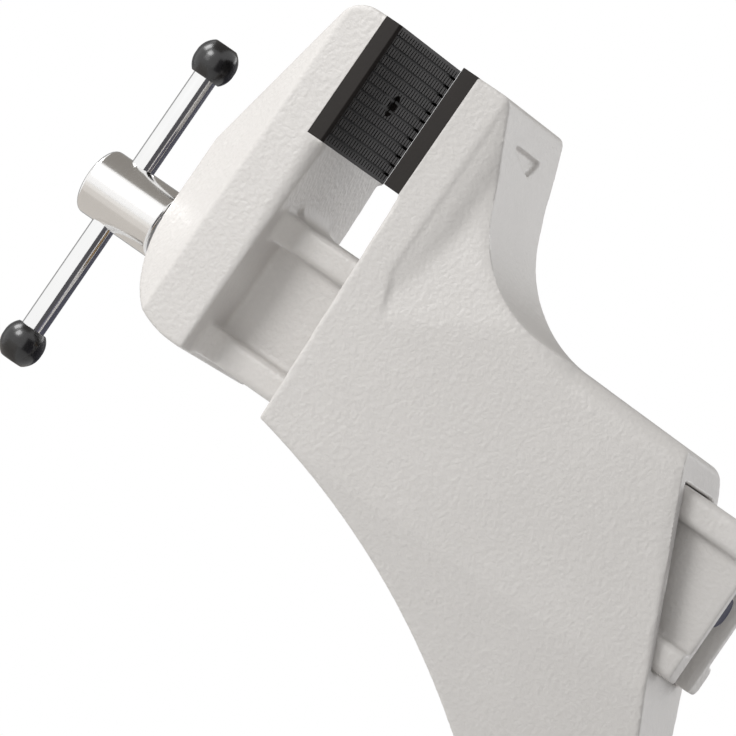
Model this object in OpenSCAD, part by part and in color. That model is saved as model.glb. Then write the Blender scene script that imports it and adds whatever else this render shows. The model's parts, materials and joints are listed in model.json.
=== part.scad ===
// Ball joint vise: a small bench vise whose head tilts, swivels and twists on a ball, on a clamp-on base.
// The head is drawn in its own frame: x runs back from the seat of the fixed jaw plate and z runs up
// from the axis of the lead screw. The finished part stands on the bench face, straight below the ball.

/* [Jaws] */
// Width of the jaws and of the plates on them
jaw_w = 75; // [66:1:90]
// Height of the jaw tops above the lead screw
jaw_top = 107; // [102:1:116]
// Height of a jaw plate
plate_h = 50; // [42:1:56]
// Thickness of a jaw plate
plate_t = 7; // [6:0.5:10]
// Distance between the two plates as drawn
jaw_gap = 28; // [10:1:40]
// Number of grooves across a plate
groove_n = 12; // [6:1:14]
// Width of a groove
groove_w = 1; // [0.6:0.1:1.6]
// Depth of a groove
groove_d = 0.8; // [0.4:0.1:1.2]
// Plain land between a groove's end and the side of the plate
groove_land = 1.2; // [0.6:0.1:3]
// Diameter of the screw that holds a plate
plate_screw_d = 4; // [4:0.5:6]
// Length of the screw that holds a plate
plate_screw_l = 14; // [10:1:16]

/* [Vise body] */
// Thickness of the fixed jaw at its top
jaw_top_t = 14; // [12:0.5:16]
// Lean of the fixed jaw's back from upright, in degrees
back_lean = 23.7; // [18:0.1:28]
// Radius of the hollow behind the fixed jaw
back_r = 50; // [42:1:56]
// Height of the flat back above the lead screw, where it leaves the hollow
body_top = 42.3; // [40:0.1:46]
// Fall of the flat back from the hollow to its rear end
top_fall = 1.8; // [0.5:0.1:3]
// Radius of the flat back's rounded long edges
shoulder_r = 9; // [5:0.5:10]
// Distance from the jaw seat to the end of the flat back
top_end = 138; // [130:0.1:150]
// Lean of the rear face from upright, in degrees
rear_lean = 25.3; // [20:0.1:27]
// Depth of the rear face's lower end below the lead screw
rear_drop = 58; // [52:0.5:66]
// Radius of the rear face's upright edges
rear_r = 3; // [1.5:0.5:3.5]
// Depth of the crease where the sides turn in, below the lead screw
crease_drop = 38.6; // [36:0.1:44]
// Depth of the front lower edge below the lead screw
front_drop = 36; // [34.5:0.1:40]
// Distance that the front lower edge lies behind the jaw seat
front_back = 4; // [1:0.5:6]
// Narrowing of the body towards the rear, each side, in degrees
body_taper = 4.7; // [2:0.1:5]
// Slope of the sides below the crease, in degrees
neck_draft = 8; // [4:0.5:9]
// Radius of the hollow under the body
hollow_r = 285; // [230:1:400]
// Distance from the jaw seat to the front edge of the coves behind the jaw
cove_x = 13.4; // [12.5:0.1:16]
// Radius of the roll from a cove's front edge down to its floor
cove_r = 20; // [16:0.5:26]
// Depth of a cove's floor
cove_d = 5.2; // [3:0.1:6]
// Height above the lead screw where the coves run out
cove_low = 12; // [6:1:20]
// Height above the lead screw where a cove's front edge turns to the rear
cove_foot = 34; // [28:1:42]
// Distance that a cove's front edge runs to the rear below that
cove_tip = 9; // [6:0.5:12]
// Lean of a cove's floor where it rises to run out, in degrees
cove_lean = 6; // [4:0.1:9]
// Angle at which a cove's floor runs out towards the rear, in degrees
cove_fade = 3.5; // [2.5:0.1:4.5]
// Depth of the small pocket in the jaw's back
pocket_d = 2; // [1:0.5:4]
// Depth of the pocket's upper edge below the jaw's top
pocket_drop = 12; // [10:0.5:16]

/* [Neck and ball] */
// Distance from the jaw seat back to the middle of the neck's end
neck_x = 168; // [160:0.5:172]
// Depth of the neck's end below the lead screw
neck_drop = 109; // [100:0.5:118]
// Length of the neck's end face, front to rear
neck_end = 29.8; // [27:0.2:32]
// Lean of the stud from upright, in degrees
stud_lean = 20; // [14:0.5:24]
// Distance from the ball's centre to the neck's end
stud_reach = 38; // [36:0.5:46]
// Diameter of the stud
stud_d = 16; // [12:0.5:18]
// Length of stud inside the neck
stud_in = 30; // [24:1:36]
// Radius of the ball
ball_r = 22; // [20:0.5:24]
// Thickness of the lock nut on the stud
locknut_t = 7; // [5:0.5:8]
// Width across the flats of the lock nut
locknut_af = 24; // [21:0.5:26]

/* [Moving jaw and beam] */
// Length of the moving jaw in front of its plate seat
nose_len = 36; // [32:0.5:42]
// Height of the upright nose above the lead screw
nose_top = 37; // [28:0.5:44]
// Width of the nose
nose_w = 32; // [30:1:44]
// Length of the sides before they turn in to the nose
cheek_len = 14; // [12:0.5:22]
// Thickness of the moving jaw at its top
tip_t = 13; // [10:0.5:16]
// Radius of the moving jaw's top front edge
tip_r = 12; // [5:0.5:13]
// Radius of the moving jaw's toe
toe_r = 38; // [30:0.5:40]
// Diameter of the round boss on the nose, around the lead screw
nose_boss_d = 27; // [25:0.5:30]
// Radius of the moving jaw's upright rear edges under its plate
heel_r = 6; // [3:0.5:7]
// Length of the beam behind the plate seat
beam_len = 220; // [190:1:240]
// Height of the beam
beam_h = 60; // [56:0.5:64]
// Width of the beam's web
web_w = 27.6; // [25:0.2:30]
// Wall of the beam around its channel
beam_wall = 4.7; // [3.5:0.1:6]
// Width of the beam over its rails
rail_w = 38; // [34:0.5:39]
// Height of a rail
rail_h = 11.7; // [9:0.1:14]
// Length of the slanted root of a rail behind the jaw
root_len = 6.6; // [4:0.1:6.6]
// Stand of that root over the rail where it meets the jaw, each side
root_out = 10; // [6:0.5:12]
// Radius of the fillet where the beam's top meets the jaw
root_r = 6; // [4:0.5:6.5]
// Radius of a rail's rounded corners
rail_r = 3; // [1:0.5:4]

/* [Lead screw] */
// Diameter of the lead screw
screw_d = 12; // [10:0.5:13]
// Gap from the end of the lead screw to the end of the beam
screw_short = 3; // [1:0.5:10]
// Diameter of the lead screw's head
head_d = 26; // [22:0.5:28]
// Length of the lead screw's head
head_l = 33.5; // [28:0.5:38]
// Distance from the head's free end to its cross hole
cross_in = 12; // [9:0.5:14]
// Radius of the head's rounded edges
head_r = 1.5; // [0.5:0.25:2.5]
// Thickness of the thrust washer
washer_t = 1.5; // [1:0.25:3]
// Diameter of the thrust washer
washer_d = 23; // [20:0.5:25]
// Length of the collar that keeps the screw in the jaw
collar_l = 8; // [6:0.5:10]
// Diameter of the collar
collar_d = 17; // [15.5:0.1:17.4]
// Diameter of the pin through the collar
collar_pin_d = 3; // [2:0.5:4]
// Distance from the jaw seat to the lead nut
nut_x = 16; // [12:0.5:24]
// Length of the lead nut
nut_l = 25; // [22:0.5:32]
// Height of the lead nut above the lead screw's axis
nut_top = 11; // [9.5:0.5:14]
// Diameter of the two screws that hold the lead nut
nut_screw_d = 6; // [5:0.5:7]
// Thickness of their heads
nut_screw_head_t = 4; // [3:0.5:4.5]

/* [Tommy bars] */
// Diameter of the vise's tommy bar
bar_d = 9.3; // [7:0.1:10]
// Length of the vise's tommy bar
bar_l = 128; // [110:1:150]
// Distance that the bar has slid down as drawn
bar_slide = 2.7; // [0:0.1:10]
// Diameter of the knobs on the vise's tommy bar
cap_d = 16.4; // [14:0.1:20]
// Length of those knobs
cap_l = 14; // [12:0.5:18]
// Depth of the bar in a knob
cap_grip = 9; // [7:0.5:10]
// Diameter of the base's tommy bar
clamp_bar_d = 7; // [6:0.1:8]
// Length of the base's tommy bar
clamp_bar_l = 76; // [66:1:96]
// Diameter of the knobs on the base's tommy bar
clamp_cap_d = 12.4; // [11:0.1:15]
// Length of those knobs
clamp_cap_l = 11; // [9.5:0.5:14]
// Depth of the bar in such a knob
clamp_cap_grip = 7; // [5:0.5:8]

/* [Ball socket] */
// Height of the ball's centre above the bench face
ball_z = 42; // [40:0.5:50]
// Thickness of the ball seat at the ball's equator
seat_wall = 3.6; // [3:0.1:5]
// Wall of the socket cup
cup_wall = 5; // [4:0.5:7]
// Wall of the lock ring
ring_wall = 4.5; // [4:0.5:7]
// Length of thread between the cup and the lock ring
ring_engage = 14; // [10:0.5:18]
// Half angle of the ring's mouth, in degrees from upright
mouth_half = 58; // [55:0.5:62]
// Diameter of the lock lever
lever_d = 9; // [7:0.5:10]
// Length of the lock lever outside the ring
lever_l = 66; // [40:1:90]
// Direction of the lock lever, in degrees from the rear
lever_turn = -62; // [-120:1:120]
// Diameter of the lever's knob
knob_d = 18; // [15:0.5:24]
// Length of the lever's knob
knob_l = 24; // [18:0.5:32]
// Depth of the lever in its knob
knob_grip = 14; // [8:0.5:16]

/* [Clamp base] */
// Length of the foot, front to rear of the ball, each way
foot_half = 46; // [42:0.5:55]
// Width of the foot
foot_w = 92; // [76:1:110]
// Thickness of the foot
foot_t = 10; // [8:0.5:14]
// Thickness of the rubber bench pad
pad_t = 2; // [1.5:0.5:4]
// Thickness of the spine in front of the bench edge
spine_t = 16; // [13:0.5:20]
// Width of the spine and the lower arm
spine_w = 46; // [36:1:56]
// Room between the bench face and the lower arm
clamp_room = 80; // [74:1:100]
// Thickness of the lower arm
arm_t = 18; // [14:0.5:22]
// Radius of the frame's outer corners
frame_r = 12; // [6:0.5:13]
// Diameter of the boss for the clamp screw
boss_d = 32; // [26:0.5:36]
// Stand of that boss over the arm, above and below
boss_out = 3; // [1:0.5:5]
// Diameter of the clamp screw
clamp_screw_d = 12; // [10:0.5:14]
// Length of the clamp screw's thread below the pressure pad
clamp_thread_l = 104; // [100:1:130]
// Diameter of the clamp screw's head
clamp_head_d = 20; // [17:0.5:24]
// Length of the clamp screw's head
clamp_head_l = 22; // [18:0.5:28]
// Distance between the bench face and the pressure pad as drawn
bench_t = 35; // [15:1:45]
// Diameter of the pressure pad
press_d = 36; // [30:0.5:44]
// Thickness of the pressure pad's metal
press_t = 10; // [9:0.5:14]
// Diameter of the clamp screw's tip in the pressure pad
tip_d = 9; // [7:0.5:9.5]
// Depth of the tip in the pressure pad
tip_in = 6; // [4:0.5:7]

/* [Hidden] */
$fa = 3;
$fs = 0.5;
run_clear = 0.08;
fix_clear = 0.05;
seat_clear = 0.3;
slot_clear = 0.4;
play = 0.1;
over = 1;
far = 400;
thread_clear = 2;

stud_axis = [-sin(stud_lean), 0, cos(stud_lean)];
neck_along = [cos(stud_lean), sin(stud_lean)];
neck_rear = [neck_x, -neck_drop] + neck_along * neck_end / 2;
neck_front = [neck_x, -neck_drop] - neck_along * neck_end / 2;
ball_x = neck_x + stud_reach * sin(stud_lean);
ball_drop = neck_drop + stud_reach * cos(stud_lean);

front_low = [front_back, -front_drop];
hollow_chord = neck_front - front_low;
hollow_unit = hollow_chord / norm(hollow_chord);
hollow_off = sqrt(hollow_r * hollow_r - hollow_chord * hollow_chord / 4);
hollow_centre = (front_low + neck_front) / 2 + [hollow_unit[1], -hollow_unit[0]] * hollow_off;
back_arc = [
    jaw_top_t + (back_r - (body_top + back_r - jaw_top) * sin(back_lean)) / cos(back_lean),
    body_top + back_r
];
back_start = back_arc - back_r * [cos(back_lean), sin(back_lean)];
rear_top = body_top - top_fall;
rear_low = [top_end + (rear_top + rear_drop) * tan(rear_lean), -rear_drop];
body_len = max(rear_low[0], neck_rear[0]);
top_run = [back_arc[0] - top_end, top_fall] / norm([back_arc[0] - top_end, top_fall]);
shoulder_fade = 30;
shoulder_lead = 15;
shoulder_x = back_arc[0] - shoulder_lead + shoulder_fade;
shoulder_dip = atan(shoulder_r / shoulder_fade);
shoulder_lap = shoulder_r * sin(shoulder_dip);
cove_lip = 0.8;
jaw_round = 4;
top_round = 4;
pocket_top = [jaw_top_t + pocket_drop * tan(back_lean), jaw_top - pocket_drop];
pocket_near = 21;
pocket_far = 14;
pocket_point = [2, -7.5];

plate_z = jaw_top - plate_h / 2;
plate_low = jaw_top - plate_h;
plate_screw_head_d = 2 * plate_screw_d;
plate_screw_key = plate_screw_d * 2 / 3;
plate_head_sink = 1;
plate_head_top = plate_t - groove_d - plate_head_sink;
plate_head_low = plate_head_top - plate_screw_d / 2;
moving_x = -jaw_gap - 2 * plate_t;
slot_h = beam_h + 2 * slot_clear;
slot_w = rail_w + 2 * slot_clear;
toe_lip = 2;
toe_drop = beam_h / 2 + toe_lip;
heel_lean = atan(heel_r / (plate_low + toe_drop));
channel_w = web_w - 2 * beam_wall;
end_wall = 2;
channel_x = plate_t + end_wall;
nose_slope = [nose_len - tip_t, jaw_top - nose_top] / norm([nose_len - tip_t, jaw_top - nose_top]);

head_end = -nose_len - play - washer_t - head_l;
cross_x = head_end + cross_in;
screw_end = beam_len - screw_short;
knob_low = 0.36;
knob_high = 0.427;
nut_w = channel_w - 2 * slot_clear;
nut_low = -beam_h / 2 - slot_clear;
nut_seat = nut_low + fix_clear;
nut_screw_x = [nut_x + nut_l / 4, nut_x + nut_l * 3 / 4];
nut_screw_head_d = nut_screw_d * 5 / 3;
nut_screw_key = nut_screw_d * 4 / 5;
nut_floor = 5;
nut_screw_in = 15;

stud_hole = stud_reach + stud_in + thread_clear;
locknut_round = 1.1;
seat_r = ball_r + seat_clear;
seat_out = seat_r + seat_wall;
seat_floor = 3.7;
seat_low = ball_z - seat_r - seat_floor;
cup_in = seat_out + run_clear;
cup_out = cup_in + cup_wall;
cup_short = 2;
cup_top = ball_z - cup_short;
ring_in = cup_out + run_clear;
ring_out = ring_in + ring_wall;
ring_low = cup_top - ring_engage;
mouth_z = seat_r * cos(mouth_half);
ring_lip = 2;
ring_top = ball_z + mouth_z + ring_lip;
lever_z = (ring_low + ring_top) / 2;
lever_hole = ring_wall - 1;

foot_top = pad_t + foot_t;
spine_x = -foot_half - spine_t;
arm_low = -clamp_room - arm_t;
arm_end = boss_d / 2;
press_top = -bench_t;
press_low = press_top - pad_t - press_t;
clamp_shoulder = press_low - play;
clamp_head_top = clamp_shoulder - clamp_thread_l;
clamp_cross = clamp_head_top - clamp_head_l / 2;

paint = [0.86, 0.85, 0.84];
chrome = [0.8, 0.81, 0.83];
steel = [0.62, 0.63, 0.65];
oxide = [0.2, 0.19, 0.18];
black = [0.15, 0.14, 0.14];
bronze = [0.72, 0.55, 0.3];
rubber = [0.18, 0.18, 0.19];

// Half width of the body at a distance behind the jaw seat
function half_w(x) = jaw_w / 2 - x * tan(body_taper);

// Puts what is drawn in the head's frame where the head stands on its ball
module head() {
    translate([-ball_x, 0, ball_z + ball_drop]) children();
}

// Puts what is drawn from the moving plate's seat where the moving jaw stands as drawn
module on_moving_jaw() {
    head() translate([moving_x, 0, 0]) children();
}

// Puts what is drawn upright over the ball on the leaning stud
module on_stud() {
    translate([0, 0, ball_z]) rotate([0, -stud_lean, 0]) children();
}

// Thickens an outline in x and z, as seen from the near side, to a width centred on y = 0
module side_slab(width) {
    rotate([90, 0, 0]) linear_extrude(width, center = true) children();
}

// Draws a section in y and z out along x
module along_x(length) {
    rotate([90, 0, 90]) linear_extrude(length) children();
}

// A cylinder that runs along x from a start
module rod_x(from, to, d) {
    translate([from, 0, 0]) rotate([0, 90, 0]) cylinder(d = d, h = to - from);
}

// The waste between a corner and the arc that rounds it; both edges run away from the corner
module corner_waste(corner, edge_a, edge_b, r) {
    half = acos(edge_a * edge_b) / 2;
    mid = (edge_a + edge_b) / norm(edge_a + edge_b);
    centre = corner + mid * r / sin(half);
    run = r / tan(half);
    difference() {
        polygon([corner - mid * over, corner + edge_a * run, centre, corner + edge_b * run]);
        translate(centre) circle(r = r);
    }
}

// Side view of the body: jaw, hollow back, flat top, leaning rear, neck and hollow underside
module body_outline() {
    back_down = [sin(back_lean), -cos(back_lean)];
    rear_down = [sin(rear_lean), -cos(rear_lean)];
    difference() {
        polygon([
            front_low, [0, plate_low], [0, jaw_top], [jaw_top_t, jaw_top], back_start, [back_arc[0], body_top],
            [top_end, rear_top], rear_low, neck_rear, neck_front
        ]);
        translate(back_arc) circle(r = back_r);
        translate(hollow_centre) circle(r = hollow_r);
        corner_waste([jaw_top_t, jaw_top], [-1, 0], back_down, jaw_round);
        corner_waste([top_end, rear_top], top_run, rear_down, top_round);
    }
}

// What is drawn on the far side of the body, from the jaw seat along its slanted side, and its mirror image
module on_sides() {
    for (side = [0, 1])
        mirror([0, side, 0])
            translate([0, jaw_w / 2, 0])
                rotate([0, 0, -body_taper]) children();
}

// The waste outside a slanted floor, which starts at a height and leans in above it
module cove_floor(depth, low, lean) {
    translate([cove_x, -depth, low])
        rotate([lean, 0, cove_fade])
            translate([-far / 2, 0, -far / 2]) cube([far, jaw_w / 2, far]);
}

// The cove behind each cheek of the fixed jaw: a roll down from a crease to a floor that runs out below and behind
module body_coves() {
    on_sides() difference() {
        intersection() {
            cove_floor(cove_d, 0, 0);
            cove_floor(0, cove_low, cove_lean);
            translate([cove_x, -jaw_w / 2, 0]) cube([far, jaw_w, far]);
            translate([cove_x, 0, cove_foot])
                rotate([0, atan((cove_foot - cove_low) / cove_tip), 0])
                    translate([-far / 2, -jaw_w / 2, 0]) cube([far, jaw_w, far]);
        }
        translate([cove_x, -cove_r - cove_lip, 0]) cylinder(r = cove_r, h = far);
    }
}

// The waste of the flat back's long edges, whose rounding fades in behind the hollow
module shoulder_waste() {
    on_sides() {
        translate([shoulder_x, 0, body_top])
            rotate([0, asin(top_run[1]), 0])
                translate([-shoulder_lap, 0, 0])
                    along_x(far) corner_waste([0, 0], [-1, 0], [0, -1], shoulder_r);
        translate([shoulder_x, 0, body_top])
            rotate([0, shoulder_dip, 0])
                translate([-shoulder_fade, 0, 0])
                    along_x(shoulder_fade) corner_waste([0, 0], [-1, 0], [0, -1], shoulder_r);
    }
}

// The waste of the rear face's upright edges
module rear_waste() {
    on_sides()
        translate([top_end / cos(body_taper), 0, rear_top])
            rotate([0, -rear_lean, 0])
                translate([0, 0, -far / 2])
                    linear_extrude(far)
                        corner_waste([0, 0], [-1, 0], [sin(body_taper), -cos(body_taper)], rear_r);
}

// The slope of each side from the crease down to the neck
module neck_slopes() {
    on_sides()
        translate([0, 0, -crease_drop])
            rotate([-neck_draft, 0, 0])
                translate([-jaw_w, 0, -far]) cube([far, jaw_w, far + jaw_w]);
}

// The shallow pocket under the lip at the back of the fixed jaw
module back_pocket() {
    translate([pocket_top[0], 0, pocket_top[1]])
        rotate([0, -back_lean, 0])
            translate([-pocket_d, 0, 0])
                along_x(2 * pocket_d) polygon([[-pocket_near, 0], [pocket_far, 0], pocket_point]);
}

// Hole for the screw of a jaw plate, drilled into the jaw from its seat
module plate_screw_hole(towards) {
    depth = plate_screw_l - plate_head_low + thread_clear;
    translate([0, 0, plate_z])
        rotate([0, 90 * towards, 0])
            translate([0, 0, -over]) cylinder(d = plate_screw_d + 2 * fix_clear, h = depth + over);
}

// Outer block of the body, narrowing to the rear, with its top and rear edges rounded
module body_block() {
    difference() {
        difference() {
            intersection() {
                side_slab(jaw_w + 2 * over) body_outline();
                translate([0, 0, -far / 2])
                    linear_extrude(far)
                        polygon([
                            [0, -half_w(0)], [body_len, -half_w(body_len)],
                            [body_len, half_w(body_len)], [0, half_w(0)]
                        ]);
            }
            rear_waste();
        }
        shoulder_waste();
    }
}

// Casting with the fixed jaw, the slot for the beam and the neck
module vise_body() {
    color(paint) head() difference() {
        body_block();
        body_coves();
        neck_slopes();
        back_pocket();
        translate([-over, -slot_w / 2, -slot_h / 2]) cube([body_len + 2 * over, slot_w, slot_h]);
        plate_screw_hole(1);
        for (x = nut_screw_x) {
            translate([x, 0, nut_low - front_drop])
                cylinder(d = nut_screw_d + 2 * fix_clear, h = front_drop + over);
            translate([x, 0, nut_low - nut_floor - front_drop])
                cylinder(d = nut_screw_head_d + 2 * slot_clear, h = front_drop);
        }
        translate([ball_x, 0, -ball_drop])
            rotate([0, -stud_lean, 0]) cylinder(d = stud_d + 2 * run_clear, h = stud_hole);
    }
}

// Hardened plate, drawn with its back at x = 0 and its grooved face towards +x
module jaw_plate() {
    pitch = plate_h / (groove_n + 1);
    difference() {
        translate([0, -jaw_w / 2, plate_low]) cube([plate_t, jaw_w, plate_h]);
        for (i = [1 : groove_n])
            translate([plate_t - groove_d, groove_land - jaw_w / 2, plate_low + i * pitch - groove_w / 2])
                cube([groove_d + over, jaw_w - 2 * groove_land, groove_w]);
        translate([0, 0, plate_z]) {
            rod_x(-over, plate_t + over, plate_screw_d + 2 * slot_clear);
            rotate([0, 90, 0])
                translate([0, 0, plate_head_low]) plate_screw_head(slot_clear);
        }
    }
}

// Countersunk head, from its tip up along z, with room around it where it is a hole
module plate_screw_head(room) {
    tall = plate_screw_d / 2;
    narrow = plate_screw_d / 2 + room;
    wide = plate_screw_head_d / 2 + room;
    rotate_extrude()
        polygon([
            [0, 0], [narrow, 0], [wide, tall],
            [wide, tall + (room > 0 ? plate_t : 0)], [0, tall + (room > 0 ? plate_t : 0)]
        ]);
}

// Countersunk socket screw of a plate, drawn for a plate whose back is at x = 0
module plate_screw() {
    translate([0, 0, plate_z])
        rotate([0, 90, 0])
            difference() {
                union() {
                    translate([0, 0, plate_head_low]) plate_screw_head(0);
                    translate([0, 0, plate_head_low - plate_screw_l])
                        cylinder(d = plate_screw_d, h = plate_screw_l + fix_clear);
                }
                translate([0, 0, plate_head_top - plate_screw_d / 3])
                    cylinder(d = plate_screw_key, h = plate_screw_d, $fn = 6);
            }
}

module fixed_jaw_plate() {
    color(oxide) head() mirror([1, 0, 0]) jaw_plate();
}

module fixed_plate_screw() {
    color(oxide) head() mirror([1, 0, 0]) plate_screw();
}

module moving_jaw_plate() {
    color(oxide) on_moving_jaw() jaw_plate();
}

module moving_plate_screw() {
    color(oxide) on_moving_jaw() plate_screw();
}

// Threaded block that stands on the slot's floor and reaches up into the beam's channel
module lead_nut() {
    color(bronze) head() difference() {
        translate([nut_x, -nut_w / 2, nut_seat]) cube([nut_l, nut_w, nut_top - nut_seat]);
        rod_x(nut_x - over, nut_x + nut_l + over, screw_d + 2 * run_clear);
        for (x = nut_screw_x)
            translate([x, 0, nut_seat - over])
                cylinder(d = nut_screw_d + 2 * fix_clear, h = nut_screw_in + thread_clear + over);
    }
}

// Two socket screws that come up through the slot's floor into the lead nut
module lead_nut_screws() {
    color(steel) head() for (x = nut_screw_x)
        translate([x, 0, nut_low - nut_floor - fix_clear]) {
            cylinder(d = nut_screw_d, h = nut_floor + nut_screw_in);
            translate([0, 0, -nut_screw_head_t]) difference() {
                cylinder(d = nut_screw_head_d, h = nut_screw_head_t);
                translate([0, 0, -over])
                    cylinder(d = nut_screw_key, h = nut_screw_head_t / 2 + over, $fn = 6);
            }
        }
}

// Side view of the moving jaw, with its plate seat at x = 0
module jaw_outline() {
    difference() {
        polygon([
            [plate_t, -toe_drop], [plate_t, plate_low - fix_clear], [0, plate_low - fix_clear],
            [0, jaw_top], [-tip_t, jaw_top], [-nose_len, nose_top], [-nose_len, -toe_drop]
        ]);
        corner_waste([-tip_t, jaw_top], [1, 0], -nose_slope, tip_r);
        corner_waste([-nose_len, -toe_drop], [1, 0], [0, 1], toe_r);
    }
}

// Plan of the moving jaw: full width at the plate, turned in to the nose
module jaw_plan() {
    polygon([
        [plate_t, -jaw_w / 2], [plate_t, jaw_w / 2], [-cheek_len, jaw_w / 2],
        [-nose_len, nose_w / 2], [-nose_len, -nose_w / 2], [-cheek_len, -jaw_w / 2]
    ]);
}

// The waste of the moving jaw's upright rear edges, whose rounding runs out towards the bottom
module heel_waste() {
    for (side = [-1, 1])
        translate([plate_t, side * jaw_w / 2, plate_low])
            rotate([0, -heel_lean, 0])
                translate([0, 0, -far / 2])
                    linear_extrude(far) corner_waste([0, 0], [-1, 0], [0, -side], heel_r);
}

// A rail of the beam's section with round corners
module rail_bar() {
    difference() {
        square([rail_w, rail_h], center = true);
        for (y = [-1, 1], z = [-1, 1])
            corner_waste([y * rail_w / 2, z * rail_h / 2], [-y, 0], [0, -z], rail_r);
    }
}

// The slanted roots that carry the rails into the jaw, above and below
module rail_roots() {
    for (z = [-beam_h / 2, beam_h / 2 - rail_h], side = [0, 1])
        mirror([0, side, 0])
            translate([0, 0, z])
                linear_extrude(rail_h)
                    polygon([
                        [plate_t - over, channel_w / 2], [plate_t + root_len, channel_w / 2],
                        [plate_t + root_len, rail_w / 2], [plate_t, rail_w / 2 + root_out],
                        [plate_t - over, rail_w / 2 + root_out]
                    ]);
}

// Section of the beam: a web with a rail along each edge, hollow and open below
module beam_section() {
    difference() {
        union() {
            square([web_w, beam_h - rail_h], center = true);
            for (z = [-1, 1])
                translate([0, z * (beam_h - rail_h) / 2]) rail_bar();
        }
        translate([-channel_w / 2, -beam_h / 2 - over])
            square([channel_w, beam_h - beam_wall + over]);
    }
}

// Casting with the moving jaw and the beam that slides in the body's slot
module moving_jaw() {
    color(paint) on_moving_jaw() difference() {
        union() {
            difference() {
                intersection() {
                    side_slab(jaw_w + 2 * over) jaw_outline();
                    translate([0, 0, -far / 2]) linear_extrude(far) jaw_plan();
                }
                heel_waste();
            }
            rod_x(-nose_len, plate_t - over, nose_boss_d);
            translate([channel_x, 0, 0]) along_x(beam_len - channel_x) beam_section();
            rail_roots();
            translate([plate_t - over, -web_w / 2, -beam_h / 2])
                cube([channel_x - plate_t + over, web_w, beam_h]);
            side_slab(rail_w - 2 * rail_r)
                difference() {
                    translate([plate_t - over, beam_h / 2 - over]) square(root_r + over);
                    translate([plate_t + root_r, beam_h / 2 + root_r]) circle(r = root_r);
                }
        }
        rod_x(-nose_len - over, channel_x + over, screw_d + 2 * run_clear);
        plate_screw_hole(-1);
    }
}

// Lead screw with its drilled head; the thread runs the length of the shank
module lead_screw() {
    color(chrome) on_moving_jaw() difference() {
        union() {
            translate([head_end, 0, 0])
                rotate([0, 90, 0]) rotate_extrude() difference() {
                    square([head_d / 2, head_l]);
                    corner_waste([head_d / 2, 0], [-1, 0], [0, 1], head_r);
                    corner_waste([head_d / 2, head_l], [-1, 0], [0, -1], head_r);
                }
            rod_x(head_end + head_l - over, screw_end, screw_d);
        }
        translate([cross_x, 0, -head_d]) cylinder(d = bar_d + 2 * run_clear, h = 2 * head_d);
        translate([channel_x + play + collar_l / 2, 0, -head_d])
            cylinder(d = collar_pin_d + 2 * fix_clear, h = 2 * head_d);
    }
}

module thrust_washer() {
    color(steel) on_moving_jaw() difference() {
        rod_x(-nose_len - play - washer_t, -nose_len - play, washer_d);
        rod_x(-nose_len - play - washer_t - over, -nose_len, screw_d + 2 * run_clear);
    }
}

// Collar behind the jaw's wall, which keeps the screw from sliding out
module screw_collar() {
    color(steel) on_moving_jaw() difference() {
        rod_x(channel_x + play, channel_x + play + collar_l, collar_d);
        rod_x(channel_x, channel_x + play + collar_l + over, screw_d + 2 * fix_clear);
        translate([channel_x + play + collar_l / 2, 0, -collar_d])
            cylinder(d = collar_pin_d + 2 * fix_clear, h = 2 * collar_d);
    }
}

module collar_pin() {
    color(steel) on_moving_jaw()
        translate([channel_x + play + collar_l / 2, 0, -collar_d / 2 + fix_clear])
            cylinder(d = collar_pin_d, h = collar_d - 2 * fix_clear);
}

// Moulded knob, round with a flat end, for the end of a bar that runs up z to a given height
module bar_knob(bar_end, d_bar, d_knob, l_knob, grip) {
    low = d_knob * knob_low;
    high = max(low + over, l_knob - d_knob * knob_high);
    translate([0, 0, bar_end - grip]) difference() {
        rotate_extrude() intersection() {
            union() {
                translate([0, low]) circle(d = d_knob);
                translate([0, low]) square([d_knob / 2, high - low]);
                translate([0, high]) circle(d = d_knob);
            }
            square([d_knob, l_knob]);
        }
        translate([0, 0, -over]) cylinder(d = d_bar + 2 * fix_clear, h = grip + over);
    }
}

// Stands what is drawn along z, from the middle of the tommy bar, in the lead screw's head
module at_tommy_bar() {
    on_moving_jaw() translate([cross_x, 0, -bar_slide]) children();
}

module tommy_bar() {
    color(chrome) at_tommy_bar() cylinder(d = bar_d, h = bar_l - 2 * fix_clear, center = true);
}

module tommy_knob_upper() {
    color(black) at_tommy_bar() bar_knob(bar_l / 2, bar_d, cap_d, cap_l, cap_grip);
}

module tommy_knob_lower() {
    color(black) at_tommy_bar() mirror([0, 0, 1]) bar_knob(bar_l / 2, bar_d, cap_d, cap_l, cap_grip);
}

// Ball with the stud that screws up into the neck
module ball_stud() {
    color(chrome) on_stud() {
        sphere(r = ball_r);
        cylinder(d = stud_d, h = stud_reach + stud_in);
    }
}

module stud_locknut() {
    color(steel) on_stud()
        translate([0, 0, stud_reach - play - locknut_t]) difference() {
            intersection() {
                cylinder(d = locknut_af / cos(30), h = locknut_t, $fn = 6);
                cylinder(d = locknut_af * locknut_round, h = locknut_t);
            }
            translate([0, 0, -over]) cylinder(d = stud_d + 2 * fix_clear, h = locknut_t + 2 * over);
        }
}

// Cup liner that the ball turns in, itself free to turn in the base
module ball_seat() {
    color(bronze) difference() {
        translate([0, 0, seat_low + fix_clear]) cylinder(r = seat_out, h = cup_top - seat_low - fix_clear);
        translate([0, 0, ball_z]) sphere(r = seat_r);
    }
}

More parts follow.
